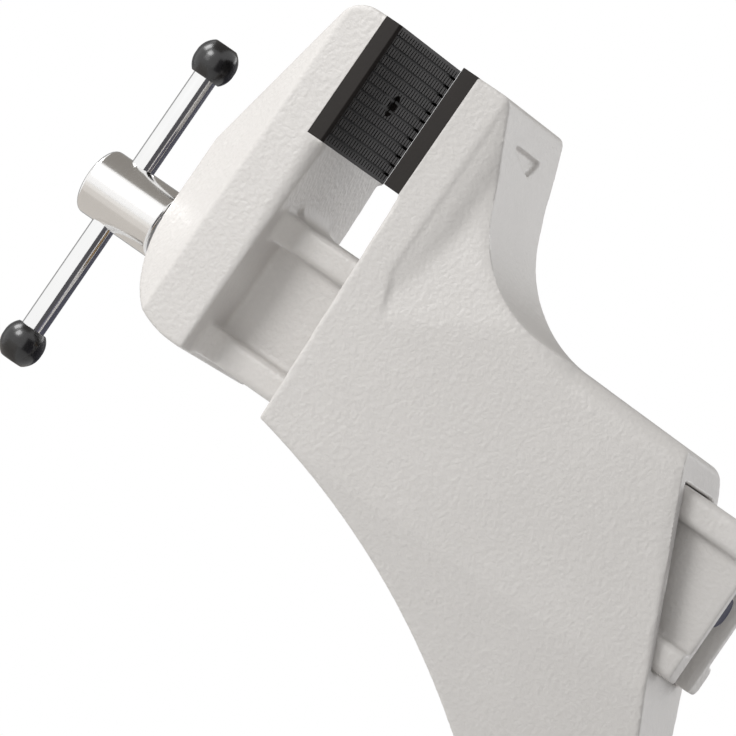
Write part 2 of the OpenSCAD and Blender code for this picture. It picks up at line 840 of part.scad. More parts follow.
// Ring that screws down over the cup and grips the ball above its equator
module lock_ring() {
    color(steel) difference() {
        translate([0, 0, ring_low]) cylinder(r = ring_out, h = ring_top - ring_low);
        translate([0, 0, ring_low - over]) cylinder(r = ring_in, h = cup_top + play + over - ring_low);
        translate([0, 0, ball_z]) {
            sphere(r = seat_r);
            cylinder(r1 = 0, r2 = far * tan(mouth_half), h = far);
        }
        translate([0, 0, lever_z])
            rotate([0, 90, lever_turn])
                translate([0, 0, ring_out - lever_hole]) cylinder(d = lever_d + 2 * fix_clear, h = ring_wall);
    }
}

// Stands what is drawn along z, from the ring's outer face, along the lever
module at_lever() {
    translate([0, 0, lever_z]) rotate([0, 90, lever_turn]) translate([0, 0, ring_out]) children();
}

module lock_lever() {
    color(chrome) at_lever()
        translate([0, 0, fix_clear - lever_hole]) cylinder(d = lever_d, h = lever_hole + lever_l - 2 * fix_clear);
}

module lever_knob() {
    color(black) at_lever() bar_knob(lever_l, lever_d, knob_d, knob_l, knob_grip);
}

// Side view of the clamp frame: foot, spine and lower arm round the bench edge
module frame_outline() {
    difference() {
        polygon([
            [spine_x, arm_low], [arm_end, arm_low], [arm_end, -clamp_room], [-foot_half, -clamp_room],
            [-foot_half, pad_t], [foot_half, pad_t], [foot_half, foot_top], [spine_x, foot_top]
        ]);
        corner_waste([spine_x, arm_low], [1, 0], [0, 1], frame_r);
        corner_waste([spine_x, foot_top], [1, 0], [0, -1], frame_r - over);
    }
}

// Plan of the foot, with round rear corners
module foot_plan() {
    difference() {
        translate([-foot_half, -foot_w / 2]) square([2 * foot_half, foot_w]);
        for (side = [-1, 1], end = [-1, 1])
            corner_waste([end * foot_half, side * foot_w / 2], [-end, 0], [0, -side], frame_r);
    }
}

// Casting with the socket cup, the foot on the bench and the clamp frame round its edge
module clamp_base() {
    color(paint) difference() {
        union() {
            side_slab(spine_w) frame_outline();
            translate([0, 0, pad_t]) linear_extrude(foot_t) foot_plan();
            cylinder_from(pad_t, cup_top, cup_out);
            cylinder_from(foot_top - over, (foot_top + ring_low) / 2, ring_out);
            cylinder_from(arm_low - boss_out, -clamp_room + boss_out, boss_d / 2);
        }
        cylinder_from(seat_low, cup_top + over, cup_in);
        cylinder_from(arm_low - far, -clamp_room + boss_out + over, clamp_screw_d / 2 + run_clear);
    }
}

// An upright cylinder on the ball's axis between two heights
module cylinder_from(low, high, r) {
    translate([0, 0, low]) cylinder(r = r, h = high - low);
}

// Rubber sheet glued under the foot
module bench_pad() {
    color(rubber) linear_extrude(pad_t) foot_plan();
}

// Swivel pad on the tip of the clamp screw
module pressure_pad() {
    color(steel) difference() {
        cylinder_from(press_low, press_top - pad_t, press_d / 2);
        cylinder_from(press_low - over, press_low + tip_in + play, tip_d / 2 + run_clear);
    }
}

module pressure_rubber() {
    color(rubber) cylinder_from(press_top - pad_t, press_top, press_d / 2);
}

// Clamp screw with its tip, thread and drilled head
module clamp_screw() {
    color(chrome) difference() {
        union() {
            cylinder_from(clamp_shoulder - over, press_low + tip_in, tip_d / 2);
            cylinder_from(clamp_head_top - over, clamp_shoulder, clamp_screw_d / 2);
            translate([0, 0, clamp_head_top - clamp_head_l])
                rotate_extrude() difference() {
                    square([clamp_head_d / 2, clamp_head_l]);
                    corner_waste([clamp_head_d / 2, 0], [-1, 0], [0, 1], head_r);
                    corner_waste([clamp_head_d / 2, clamp_head_l], [-1, 0], [0, -1], head_r);
                }
        }
        translate([0, 0, clamp_cross])
            rotate([90, 0, 0])
                cylinder(d = clamp_bar_d + 2 * run_clear, h = 2 * clamp_head_d, center = true);
    }
}

// Stands what is drawn along z, from the middle of the base's tommy bar, in the clamp screw's head
module at_clamp_bar() {
    translate([0, 0, clamp_cross]) rotate([90, 0, 0]) children();
}

module clamp_bar() {
    color(chrome) at_clamp_bar() cylinder(d = clamp_bar_d, h = clamp_bar_l - 2 * fix_clear, center = true);
}

module clamp_knob_near() {
    color(black) at_clamp_bar()
        bar_knob(clamp_bar_l / 2, clamp_bar_d, clamp_cap_d, clamp_cap_l, clamp_cap_grip);
}

module clamp_knob_far() {
    color(black) at_clamp_bar() mirror([0, 0, 1])
        bar_knob(clamp_bar_l / 2, clamp_bar_d, clamp_cap_d, clamp_cap_l, clamp_cap_grip);
}

vise_body();
fixed_jaw_plate();
fixed_plate_screw();
lead_nut();
lead_nut_screws();
moving_jaw();
moving_jaw_plate();
moving_plate_screw();
lead_screw();
thrust_washer();
screw_collar();
collar_pin();
tommy_bar();
tommy_knob_upper();
tommy_knob_lower();
ball_stud();
stud_locknut();
ball_seat();
lock_ring();
lock_lever();
lever_knob();
clamp_base();
bench_pad();
pressure_pad();
pressure_rubber();
clamp_screw();
clamp_bar();
clamp_knob_near();
clamp_knob_far();
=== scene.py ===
import json
import math

import bmesh
import bpy
from mathutils import Matrix, Vector


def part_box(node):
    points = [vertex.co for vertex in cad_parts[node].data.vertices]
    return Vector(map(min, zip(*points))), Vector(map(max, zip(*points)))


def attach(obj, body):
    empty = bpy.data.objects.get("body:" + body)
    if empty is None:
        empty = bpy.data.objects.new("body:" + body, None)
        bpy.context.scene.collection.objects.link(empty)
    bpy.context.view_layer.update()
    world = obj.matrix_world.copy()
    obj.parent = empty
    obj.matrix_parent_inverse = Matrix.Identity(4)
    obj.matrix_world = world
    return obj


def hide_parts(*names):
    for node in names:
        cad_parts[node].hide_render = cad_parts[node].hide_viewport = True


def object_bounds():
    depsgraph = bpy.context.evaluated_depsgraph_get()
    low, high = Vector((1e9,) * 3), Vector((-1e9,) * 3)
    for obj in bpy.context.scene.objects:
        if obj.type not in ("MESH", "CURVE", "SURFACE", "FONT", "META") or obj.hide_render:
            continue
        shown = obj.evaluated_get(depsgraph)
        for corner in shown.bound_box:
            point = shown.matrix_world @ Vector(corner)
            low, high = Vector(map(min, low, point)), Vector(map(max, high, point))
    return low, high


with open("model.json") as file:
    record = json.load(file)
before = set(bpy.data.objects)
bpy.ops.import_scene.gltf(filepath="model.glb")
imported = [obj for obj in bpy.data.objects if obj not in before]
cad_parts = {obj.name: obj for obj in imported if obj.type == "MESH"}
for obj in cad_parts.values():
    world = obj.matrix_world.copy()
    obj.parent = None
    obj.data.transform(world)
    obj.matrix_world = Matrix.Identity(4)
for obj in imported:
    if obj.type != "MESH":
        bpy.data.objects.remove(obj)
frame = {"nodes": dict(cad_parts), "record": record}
cad_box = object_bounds()

# Vise body. One iron casting holds the fixed jaw, the slot for the beam and the neck. Its edges are
# fettled round, it is sprayed with off-white hammered paint, and its jaw seat is milled flat afterwards.
MM = 0.001
WELD = 0.001 * MM
SHARP_ANGLE = math.radians(38)
LAP = 1.0 * MM
CAST_GRAIN = 0.75 * MM
CAST_RUBS = 10
CAST_KEPT = 0.44
RUB_SHARE = 0.5
COVE_RUBS = 36
COVE_EDGE = 16.4 * MM
COVE_FOOT = 34 * MM
COVE_SLOPE = 0.41
COVE_FACING = 0.7
MILL_ROOM = 9 * MM
PAINT_DARK = (0.625, 0.602, 0.578)
PAINT_LIGHT = (0.715, 0.69, 0.664)
PAINT_CLOUDS = 26
PAINT_FURROWS = 330
PAINT_CELLS = 560
PAINT_RELIEF = 0.5 * MM


class Socket:
    """One output of a shader node, which can be used in sums; a sum adds Math nodes to its tree."""

    def __init__(self, tree, output):
        self.tree = tree
        self.output = output

    def node(self, kind, sockets, output=0, **settings):
        made = self.tree.nodes.new(kind)
        for name, value in settings.items():
            setattr(made, name, value)
        for name, value in sockets.items():
            if isinstance(value, Socket):
                self.tree.links.new(value.output, made.inputs[name])
            else:
                made.inputs[name].default_value = value
        return Socket(self.tree, made.outputs[output])

    def sum(self, operation, first, second):
        return self.node("ShaderNodeMath", {0: first, 1: second}, operation=operation)

    def __add__(self, other):
        return self.sum("ADD", self, other)

    def __radd__(self, other):
        return self.sum("ADD", other, self)

    def __sub__(self, other):
        return self.sum("SUBTRACT", self, other)

    def __rsub__(self, other):
        return self.sum("SUBTRACT", other, self)

    def __mul__(self, other):
        return self.sum("MULTIPLY", self, other)

    def __rmul__(self, other):
        return self.sum("MULTIPLY", other, self)

    def noise(self, scale):
        """Cloudy noise from 0 to 1 at a scale per metre, on this vector."""
        return self.node("ShaderNodeTexNoise", {"Vector": self, "Scale": scale, "Detail": 2.0})

    def wrinkles(self, scale):
        """Winding furrows, 0 in their bottoms, at a scale per metre, on this vector."""
        return self.node("ShaderNodeMath", {0: self.noise(scale) - 0.5}, operation="ABSOLUTE")

    def dapples(self, scale):
        """Rounded cells, 0 in their middles, at a scale per metre, on this vector."""
        return self.node(
            "ShaderNodeTexVoronoi", {"Vector": self, "Scale": scale, "Smoothness": 0.6}, feature="SMOOTH_F1"
        )

    def stretched(self, scale):
        """This vector with each axis scaled, for streaks."""
        return self.node("ShaderNodeMapping", {"Vector": self, "Scale": scale})

    def between(self, first, second):
        """A colour between two, by this value."""
        return self.node(
            "ShaderNodeMix", {0: self, 6: (*first, 1), 7: (*second, 1)}, output=2, data_type="RGBA"
        )


def new_finish(name, **constants):
    """A material with its shader's constants set; gives it, its shader and the place on the piece."""
    material = bpy.data.materials.new(name)
    material.use_nodes = True
    shader = material.node_tree.nodes["Principled BSDF"]
    for socket, value in constants.items():
        shader.inputs[socket.replace("_", " ")].default_value = value
    place = material.node_tree.nodes.new("ShaderNodeTexCoord")
    return material, shader, Socket(material.node_tree, place.outputs["Object"])


def feed(shader, **sockets):
    """Links values that change over the surface to a shader's sockets."""
    for socket, value in sockets.items():
        value.tree.links.new(value.output, shader.inputs[socket.replace("_", " ")])


def bumped(height, strength, depth):
    """A normal that follows a height, at a strength, over a depth."""
    return height.node("ShaderNodeBump", {"Height": height, "Strength": strength, "Distance": depth})


hammered_paint, shader, place = new_finish("hammered_paint", IOR=1.5, Coat_Roughness=0.2, Coat_Weight=0.15)
skin = 1.6 * place.wrinkles(PAINT_FURROWS) + 0.5 * place.dapples(PAINT_CELLS)
feed(
    shader,
    Base_Color=(0.6 * place.noise(PAINT_CLOUDS) + 0.4 * skin).between(PAINT_DARK, PAINT_LIGHT),
    Roughness=0.36 + 0.16 * skin,
    Normal=bumped(skin, 0.42, PAINT_RELIEF),
)


def cad_copy(node):
    """The mesh of a CAD node with its loose triangles joined."""
    shape = bmesh.new()
    shape.from_mesh(frame["nodes"][node].data)
    bmesh.ops.remove_doubles(shape, verts=shape.verts, dist=WELD)
    return shape


def add_block(shape, low, high):
    """Adds a plain block between two corners."""
    low, high = Vector(low), Vector(high)
    matrix = Matrix.Translation((low + high) / 2) @ Matrix.Diagonal((*(high - low), 1))
    bmesh.ops.create_cube(shape, size=1, matrix=matrix)


def stood(name, shape):
    """An object with the shape, its place in its mesh."""
    mesh = bpy.data.meshes.new(name)
    shape.to_mesh(mesh)
    shape.free()
    piece = bpy.data.objects.new(name, mesh)
    bpy.context.scene.collection.objects.link(piece)
    return piece


def settle(piece):
    """Takes what the piece's modifiers make as its mesh."""
    made = bpy.data.meshes.new_from_object(piece.evaluated_get(bpy.context.evaluated_depsgraph_get()))
    piece.modifiers.clear()
    piece.data = made


def cast(name, shape):
    """A rough solid as it leaves the foundry: one skin, with every edge rubbed round."""
    piece = stood(name, shape)
    skin = piece.modifiers.new("skin", "REMESH")
    skin.mode = "VOXEL"
    skin.voxel_size = CAST_GRAIN
    rub = piece.modifiers.new("rub", "SMOOTH")
    rub.factor = RUB_SHARE
    rub.iterations = CAST_RUBS
    settle(piece)
    return piece


def thinned(piece):
    """Leaves out the points that a casting's flat sides don't need."""
    thin = piece.modifiers.new("thin", "DECIMATE")
    thin.ratio = CAST_KEPT
    settle(piece)


def cut(piece, tool, operation="DIFFERENCE"):
    """Takes a tool's shape out of a piece, or with INTERSECT keeps only what lies in it."""
    cutter = stood("cutter", tool)
    work = piece.modifiers.new("cut", "BOOLEAN")
    work.operation = operation
    work.solver = "EXACT"
    work.object = cutter
    settle(piece)
    bpy.data.objects.remove(cutter)


def finish_piece(piece, material, body, slot, *nodes):
    """Shades a piece, gives it its material, hangs it on the body that it moves with and hides the nodes it
    stands for.
    """
    piece.data.materials.clear()
    piece.data.materials.append(material)
    piece.data.shade_smooth()
    piece.data.set_sharp_from_angle(angle=SHARP_ANGLE)
    piece.modifiers.new("flat_faces", "WEIGHTED_NORMAL").keep_sharp = True
    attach(piece, body)
    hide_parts(*nodes)


plate_low, plate_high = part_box("fixed_jaw_plate")
shape = cad_copy("vise_body")
add_block(shape, plate_low, plate_high + Vector((LAP, 0, 0)))
body_casting = cast("body_casting", shape)
shape = bmesh.new()
shape.from_mesh(body_casting.data)
screw_z = sum(corner.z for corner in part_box("lead_screw")) / 2
hollows = []
for vert in shape.verts:
    rise = vert.co.z - screw_z
    edge_x = plate_high.x + COVE_EDGE + COVE_SLOPE * max(0, COVE_FOOT - rise)
    if rise > 0 and vert.co.x > edge_x and abs(vert.normal.y) > COVE_FACING:
        hollows.append(vert)
for rub in range(COVE_RUBS):
    bmesh.ops.smooth_vert(
        shape, verts=hollows, factor=RUB_SHARE, use_axis_x=True, use_axis_y=True, use_axis_z=True
    )
shape.to_mesh(body_casting.data)
shape.free()
thinned(body_casting)
mill = bmesh.new()
add_block(mill, plate_low - Vector((1, 1, 1)) * MILL_ROOM, plate_high + Vector((0, 1, 1)) * MILL_ROOM)
cut(body_casting, mill)
finish_piece(body_casting, hammered_paint, "head", "paint", "vise_body")

# Moving jaw. A second iron casting carries the other jaw in front and the hollow beam behind, and takes the
# same paint. The step that its plate stands on is milled. The screw's head doesn't mirror it, so that the
# plating keeps the dark streaks of the cards.
plate_low, plate_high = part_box("moving_jaw_plate")
shape = cad_copy("moving_jaw")
add_block(shape, plate_low - Vector((LAP, 0, LAP)), plate_high)
jaw_casting = cast("jaw_casting", shape)
thinned(jaw_casting)
mill = bmesh.new()
add_block(mill, plate_low - Vector((0, 1, 0)) * MILL_ROOM, plate_high + Vector((1, 1, 1)) * MILL_ROOM)
cut(jaw_casting, mill)
finish_piece(jaw_casting, hammered_paint, "moving_jaw", "paint", "moving_jaw")
jaw_casting.visible_glossy = False

# Jaw plates and their screws. Hardened steel plates, grooved across and finely hatched, are blackened and
# held by one countersunk socket screw each. The near upright gripping edge of each has a flat chamfer.
PLATE_EDGE = 0.22 * MM
FIXED_CHAMFER = 0.5 * MM
MOVING_CHAMFER = 1.0 * MM
GROOVES = 12
GROOVE_W = 1.0 * MM
GROOVE_DEPTH = 1.5 * MM
HATCH_PITCH = 3.0 * MM
HATCH_W = 0.9 * MM
HATCH_DEPTH = 0.25 * MM
PLATE_LAND = 1.2 * MM
SINK_ROOM = 0.4 * MM
PLATE_SCREW_R = 2.0 * MM
ROUND_STEPS = 96
FINE_STEPS = 288
CORNER_CUTS = 6
EDGE_CUTS = 2
FLAT_ANGLE = math.radians(0.5)
OXIDE_DARK = (0.0115, 0.0096, 0.0085)
OXIDE_LIGHT = (0.026, 0.0222, 0.02)
ALONG_X = Vector((1, 0, 0))
ALONG_Y = Vector((0, 1, 0))
ALONG_Z = Vector((0, 0, 1))
black_oxide, shader, place = new_finish("black_oxide", Metallic=0.2, Specular_IOR_Level=0.2)
mottle = 0.6 * place.noise(90) + 0.4 * place.noise(1400)
feed(
    shader,
    Base_Color=mottle.between(OXIDE_DARK, OXIDE_LIGHT),
    Roughness=0.38 + 0.22 * mottle,
    Normal=bumped(mottle, 0.3, 0.2 * MM),
)


def profile(*corners):
    """A line of (radius, height, rounding) corners in the plane of x and z."""
    shape = bmesh.new()
    points = [shape.verts.new((r, 0, z)) for r, z, rounding in corners]
    for pair in zip(points, points[1:]):
        shape.edges.new(pair)
    for point, (r, z, rounding) in zip(points, corners):
        if rounding:
            bmesh.ops.bevel(
                shape, geom=[point], affect="VERTICES", offset=rounding, segments=CORNER_CUTS,
                profile=0.5, material=-1,
            )
    return shape


def turned(shape, steps=ROUND_STEPS):
    """Turns a line about z into a closed skin."""
    bmesh.ops.spin(
        shape, geom=shape.verts[:] + shape.edges[:], axis=ALONG_Z, angle=math.tau, steps=steps,
        use_merge=True,
    )
    bmesh.ops.remove_doubles(shape, verts=shape.verts, dist=WELD)
    bmesh.ops.dissolve_degenerate(shape, edges=shape.edges, dist=WELD)
    bmesh.ops.recalc_face_normals(shape, faces=shape.faces)
    return shape


def laid(shape, axis, foot):
    """Lays a shape that was made up z along an axis from a foot."""
    matrix = Matrix.Translation(foot) @ ALONG_Z.rotation_difference(axis).to_matrix().to_4x4()
    bmesh.ops.transform(shape, matrix=matrix, verts=shape.verts)
    return shape


def bevelled(shape, edges, width, segments):
    """Bevels some edges of a shape, in a number of cuts."""
    bmesh.ops.bevel(
        shape, geom=edges, affect="EDGES", offset=width, segments=segments, profile=0.5, material=-1,
        clamp_overlap=True,
    )


def edged(name, shape, width):
    """A machined piece with its sharp edges broken."""
    bmesh.ops.dissolve_limit(
        shape, angle_limit=FLAT_ANGLE, verts=shape.verts, edges=shape.edges, use_dissolve_boundaries=False
    )
    sharp = [
        edge for edge in shape.edges
        if len(edge.link_faces) == 2 and edge.calc_face_angle() > SHARP_ANGLE
    ]
    bevelled(shape, sharp, width, EDGE_CUTS)
    return stood(name, shape)


for side, body, out, chamfer in (
    ("fixed", "head", -1, FIXED_CHAMFER),
    ("moving", "moving_jaw", 1, MOVING_CHAMFER),
):
    low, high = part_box(f"{side}_jaw_plate")
    face_x = high.x if out > 0 else low.x
    shape = bmesh.new()
    add_block(shape, low, high)
    gripping = [
        edge for edge in shape.edges
        if all(abs(vert.co.x - face_x) < WELD and abs(vert.co.y - low.y) < WELD for vert in edge.verts)
    ]
    bevelled(shape, gripping, chamfer, 1)
    plate = edged(f"{side}_plate", shape, PLATE_EDGE)
    cutters = [bmesh.new(), bmesh.new()]
    for row in range(1, GROOVES + 1):
        z = low.z + row * (high.z - low.z) / (GROOVES + 1)
        add_block(
            cutters[0], (face_x - GROOVE_DEPTH, low.y + PLATE_LAND, z - GROOVE_W / 2),
            (face_x + GROOVE_DEPTH, high.y - PLATE_EDGE, z + GROOVE_W / 2),
        )
    for column in range(1, round((high.y - low.y) / HATCH_PITCH)):
        y = low.y + column * HATCH_PITCH
        add_block(
            cutters[1], (face_x - HATCH_DEPTH, y - HATCH_W / 2, low.z + PLATE_LAND),
            (face_x + HATCH_DEPTH, y + HATCH_W / 2, high.z - PLATE_LAND),
        )
    screw_low, screw_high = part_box(f"{side}_plate_screw")
    wide = (screw_high.z - screw_low.z) / 2 + SINK_ROOM
    narrow = PLATE_SCREW_R + SINK_ROOM
    sink = abs((screw_high.x if out > 0 else screw_low.x) - face_x)
    through = high.x - low.x + LAP
    cutters.append(laid(
        turned(profile(
            (0, LAP, 0), (wide, LAP, 0), (wide, -sink, 0), (narrow, narrow - wide - sink, 0),
            (narrow, -through, 0), (0, -through, 0),
        )),
        out * ALONG_X, (face_x, 0, (screw_low.z + screw_high.z) / 2),
    ))
    for cutter in cutters:
        cut(plate, cutter)
    finish_piece(plate, black_oxide, body, "oxide", f"{side}_jaw_plate")
    plate_screw = edged(f"{side}_screw", cad_copy(f"{side}_plate_screw"), PLATE_EDGE)
    finish_piece(plate_screw, black_oxide, body, "oxide", f"{side}_plate_screw")

# Lead nut and its screws. A bronze block stands on the floor of the slot, inside the beam's channel, and two
# steel socket screws hold it from below.
NUT_BLOCK_EDGE = 0.5 * MM
NUT_SCREW_EDGE = 0.4 * MM
BRONZE_DARK = (0.42, 0.25, 0.09)
BRONZE_LIGHT = (0.66, 0.44, 0.19)
STEEL_DARK = (0.36, 0.365, 0.375)
STEEL_LIGHT = (0.56, 0.565, 0.575)
machined_bronze, shader, place = new_finish("machined_bronze", Metallic=1.0)
grain = 0.7 * place.noise(60) + 0.3 * place.stretched((60, 900, 900)).noise(1.0)
feed(
    shader,
    Base_Color=grain.between(BRONZE_DARK, BRONZE_LIGHT),
    Roughness=0.26 + 0.2 * grain,
    Normal=bumped(grain, 0.1, 0.1 * MM),
)
turned_steel, shader, place = new_finish("turned_steel", Metallic=1.0)
grain = 0.5 * place.noise(120) + 0.5 * place.stretched((300, 300, 1600)).noise(1.0)
feed(
    shader,
    Base_Color=grain.between(STEEL_DARK, STEEL_LIGHT),
    Roughness=0.24 + 0.18 * grain,
    Normal=bumped(grain, 0.12, 0.1 * MM),
)
nut_block = edged("nut_block", cad_copy("lead_nut"), NUT_BLOCK_EDGE)
finish_piece(nut_block, machined_bronze, "head", "bronze", "lead_nut")
nut_screws = edged("nut_screws", cad_copy("lead_nut_screws"), NUT_SCREW_EDGE)
finish_piece(nut_screws, turned_steel, "head", "steel", "lead_nut_screws")

# Lead screw. A steel screw with a right-hand thread and a plain round head, drilled across for the tommy bar
# and bright plated. A washer, a collar and a pin keep it in the moving jaw.
THREAD_SHARE = 0.35
FLANK_FROM, CREST_FROM, CREST_TO = 0.28, 0.42, 0.86
THREAD_STEPS = 40
LEAD_PITCH = 4 * MM
SHANK_R = 6 * MM
PLAIN_LENGTH = 62 * MM
RUN_CLEAR = 0.08 * MM
HEAD_FRONT_EDGE = 2.2 * MM
HEAD_BACK_EDGE = 1.5 * MM
SHANK_EDGE = 0.8 * MM
WASHER_EDGE = 0.3 * MM
COLLAR_EDGE = 0.4 * MM
PIN_EDGE = 0.3 * MM
CHROME_DARK = (0.88, 0.88, 0.88)
CHROME_LIGHT = (0.95, 0.95, 0.945)
SATIN_DARK = (0.86, 0.85, 0.84)
SATIN_LIGHT = (0.96, 0.95, 0.94)
bright_chrome, shader, place = new_finish("bright_chrome", Metallic=1.0)
haze = 0.85 * place.noise(70) + 0.15 * place.stretched((700, 700, 120)).noise(1.0)
feed(shader, Base_Color=haze.between(CHROME_DARK, CHROME_LIGHT), Roughness=0.07 + 0.05 * haze)
satin_chrome, shader, place = new_finish("satin_chrome", Metallic=1.0)
lathe = 0.5 * place.noise(70) + 0.5 * place.stretched((2600, 90, 90)).noise(1.0)
feed(
    shader,
    Base_Color=lathe.between(SATIN_DARK, SATIN_LIGHT),
    Roughness=0.12 + 0.07 * lathe,
    Normal=bumped(lathe, 0.06, 0.05 * MM),
)


def trimmed(shape, height, outward):
    """Cuts a shape off flat at a height and closes the cut; gives the edges of its rim."""
    bmesh.ops.bisect_plane(
        shape, geom=shape.verts[:] + shape.edges[:] + shape.faces[:], dist=WELD,
        plane_co=(0, 0, height), plane_no=(0, 0, outward), clear_outer=True,
    )
    rim = [
        edge for edge in shape.edges
        if edge.is_boundary and all(abs(vert.co.z - height) < 10 * WELD for vert in edge.verts)
    ]
    bmesh.ops.holes_fill(shape, edges=rim)
    return rim


def threaded(crest_r, low, high, pitch):
    """A right-hand thread about z between two heights, closed at both ends."""
    root_r = crest_r - THREAD_SHARE * pitch
    turns = math.ceil((high - low) / pitch) + 2
    tooth = (
        (root_r, 0), (root_r, FLANK_FROM), (crest_r, CREST_FROM), (crest_r, CREST_TO), (root_r, 1)
    )
    shape = profile(*((r, low + (share - 1) * pitch, 0) for r, share in tooth))
    bmesh.ops.spin(
        shape, geom=shape.verts[:] + shape.edges[:], axis=ALONG_Z, dvec=(0, 0, pitch / THREAD_STEPS),
        angle=turns * math.tau, steps=turns * THREAD_STEPS,
    )
    bmesh.ops.remove_doubles(shape, verts=shape.verts, dist=WELD)
    trimmed(shape, low, -1)
    trimmed(shape, high, 1)
    bmesh.ops.recalc_face_normals(shape, faces=shape.faces)
    return shape


def cross_hole(piece, r, head_r, axis, middle):
    """Drills a hole through a round head of a given radius."""
    reach = head_r + 2 * LAP
    hole_r = r + RUN_CLEAR
    hole = turned(profile((0, -reach, 0), (hole_r, -reach, 0), (hole_r, reach, 0), (0, reach, 0)))
    cut(piece, laid(hole, axis, middle))


screw_low, screw_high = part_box("lead_screw")
screw_foot = Vector((screw_low.x, 0, screw_z))
head_r = (screw_high.z - screw_low.z) / 2
head_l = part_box("thrust_washer")[0].x - screw_low.x
bar_low, bar_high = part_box("tommy_bar")
bar_r = (bar_high.x - bar_low.x) / 2
bar_x = (bar_low.x + bar_high.x) / 2
shape = turned(profile(
    (0, 0, 0), (head_r, 0, HEAD_FRONT_EDGE), (head_r, head_l, HEAD_BACK_EDGE), (SHANK_R, head_l, 0),
    (SHANK_R, PLAIN_LENGTH, SHANK_EDGE), (0, PLAIN_LENGTH, 0),
), FINE_STEPS)
screw_head = stood("screw_head", laid(shape, ALONG_X, screw_foot))
cross_hole(screw_head, bar_r, head_r, ALONG_Z, (bar_x, 0, screw_z))
finish_piece(screw_head, satin_chrome, "lead_screw", "chrome", "lead_screw")
shape = threaded(SHANK_R, PLAIN_LENGTH - LEAD_PITCH / 2, screw_high.x - screw_low.x, LEAD_PITCH)
screw_thread = stood("screw_thread", laid(shape, ALONG_X, screw_foot))
finish_piece(screw_thread, bright_chrome, "lead_screw", "chrome")


def ring(name, inner, outer, thickness, edge, axis, foot):
    """A turned ring with its edges broken."""
    shape = turned(profile(
        (inner, thickness / 2, 0), (inner, 0, 0), (outer, 0, edge), (outer, thickness, edge),
        (inner, thickness, 0), (inner, thickness / 2, 0),
    ))
    return stood(name, laid(shape, axis, foot))


low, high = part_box("thrust_washer")
washer_r = (high.z - low.z) / 2
washer = ring(
    "washer", SHANK_R + RUN_CLEAR, washer_r, high.x - low.x, WASHER_EDGE, ALONG_X, (low.x, 0, screw_z)
)
finish_piece(washer, turned_steel, "lead_screw", "steel", "thrust_washer")
collar = edged("collar", cad_copy("screw_collar"), COLLAR_EDGE)
finish_piece(collar, turned_steel, "lead_screw", "steel", "screw_collar")
pin = edged("pin", cad_copy("collar_pin"), PIN_EDGE)
finish_piece(pin, turned_steel, "lead_screw", "steel", "collar_pin")

# Tommy bar. A bright plated bar slides through the screw's head, and a moulded black knob with a flat end is
# pressed on each end so that it can't drop out.
KNOB_LOW = 0.72
KNOB_HIGH = 0.854
KNOB_EDGE = 0.09
KNOB_CUTS = 4
KNOB_ROUND, KNOB_RINGS = 64, 48
ROD_EDGE = 0.6 * MM
BLACK_DARK = (0.004, 0.0037, 0.004)
BLACK_LIGHT = (0.011, 0.0103, 0.0108)
moulded_black, shader, place = new_finish("moulded_black", IOR=1.48, Specular_IOR_Level=0.8)
bloom = 0.6 * place.noise(160) + 0.4 * place.noise(1500)
feed(
    shader,
    Base_Color=bloom.between(BLACK_DARK, BLACK_LIGHT),
    Roughness=0.19 + 0.1 * bloom,
    Normal=bumped(bloom, 0.1, 0.12 * MM),
)


def bar(name, r, length, edge, axis, foot):
    """A round bar with broken ends."""
    shape = turned(profile((0, 0, 0), (r, 0, edge), (r, length, edge), (0, length, 0)))
    return stood(name, laid(shape, axis, foot))


def knob(name, r, length, axis, foot):
    """A round moulded knob, cut flat at both ends; its axis points away from the bar."""
    shape = bmesh.new()
    bmesh.ops.create_uvsphere(shape, u_segments=KNOB_ROUND, v_segments=KNOB_RINGS, radius=r)
    upper = [vert for vert in shape.verts if vert.co.z > WELD]
    bmesh.ops.translate(shape, vec=(0, 0, length - (KNOB_LOW + KNOB_HIGH) * r), verts=upper)
    bmesh.ops.translate(shape, vec=(0, 0, KNOB_LOW * r), verts=shape.verts)
    for height, outward in ((0, -1), (length, 1)):
        bevelled(shape, trimmed(shape, height, outward), KNOB_EDGE * r, KNOB_CUTS)
    bmesh.ops.recalc_face_normals(shape, faces=shape.faces)
    return stood(name, laid(shape, axis, foot))


rod = bar("rod", bar_r, bar_high.z - bar_low.z, ROD_EDGE, ALONG_Z, (bar_x, 0, bar_low.z))
finish_piece(rod, bright_chrome, "tommy_bar", "chrome", "tommy_bar")
for end, way in (("upper", 1), ("lower", -1)):
    low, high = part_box(f"tommy_knob_{end}")
    foot = Vector((bar_x, 0, low.z if way > 0 else high.z))
    cap = knob(f"cap_{end}", (high.x - low.x) / 2, high.z - low.z, way * ALONG_Z, foot)
    finish_piece(cap, moulded_black, "tommy_bar", "black_plastic", f"tommy_knob_{end}")

# Ball stud and its lock nut. A bright plated steel ball carries a threaded stud that screws up into the
# neck, and a hexagon nut under the neck keeps it from working loose.
BALL_R = 22 * MM
STUD_R = 8 * MM
ARC_STEPS = 24
STUD_RELIEF = 6.7 * MM
STUD_THREAD_AT = 25.2 * MM
STUD_END = 68 * MM
STUD_PITCH = 2 * MM
NUT_FLATS = 24 * MM
NUT_LOW = 30.9 * MM
NUT_HIGH = 37.9 * MM
NUT_CHAMFER = 1.3 * MM
NUT_FACE_STEP = 0.3 * MM
twist = next(joint for joint in frame["record"]["behaviour"]["joints"] if joint["name"] == "head_twist")
ball_at = Vector(twist["pos_m"])
stud_axis = Vector(twist["axis"])


def arc(shape, start, centre, angle):
    """Draws an arc up from a point in the plane of x and z; gives its last point."""
    made = bmesh.ops.spin(shape, geom=[start], cent=centre, axis=-ALONG_Y, angle=angle, steps=ARC_STEPS)
    return made["geom_last"][0]


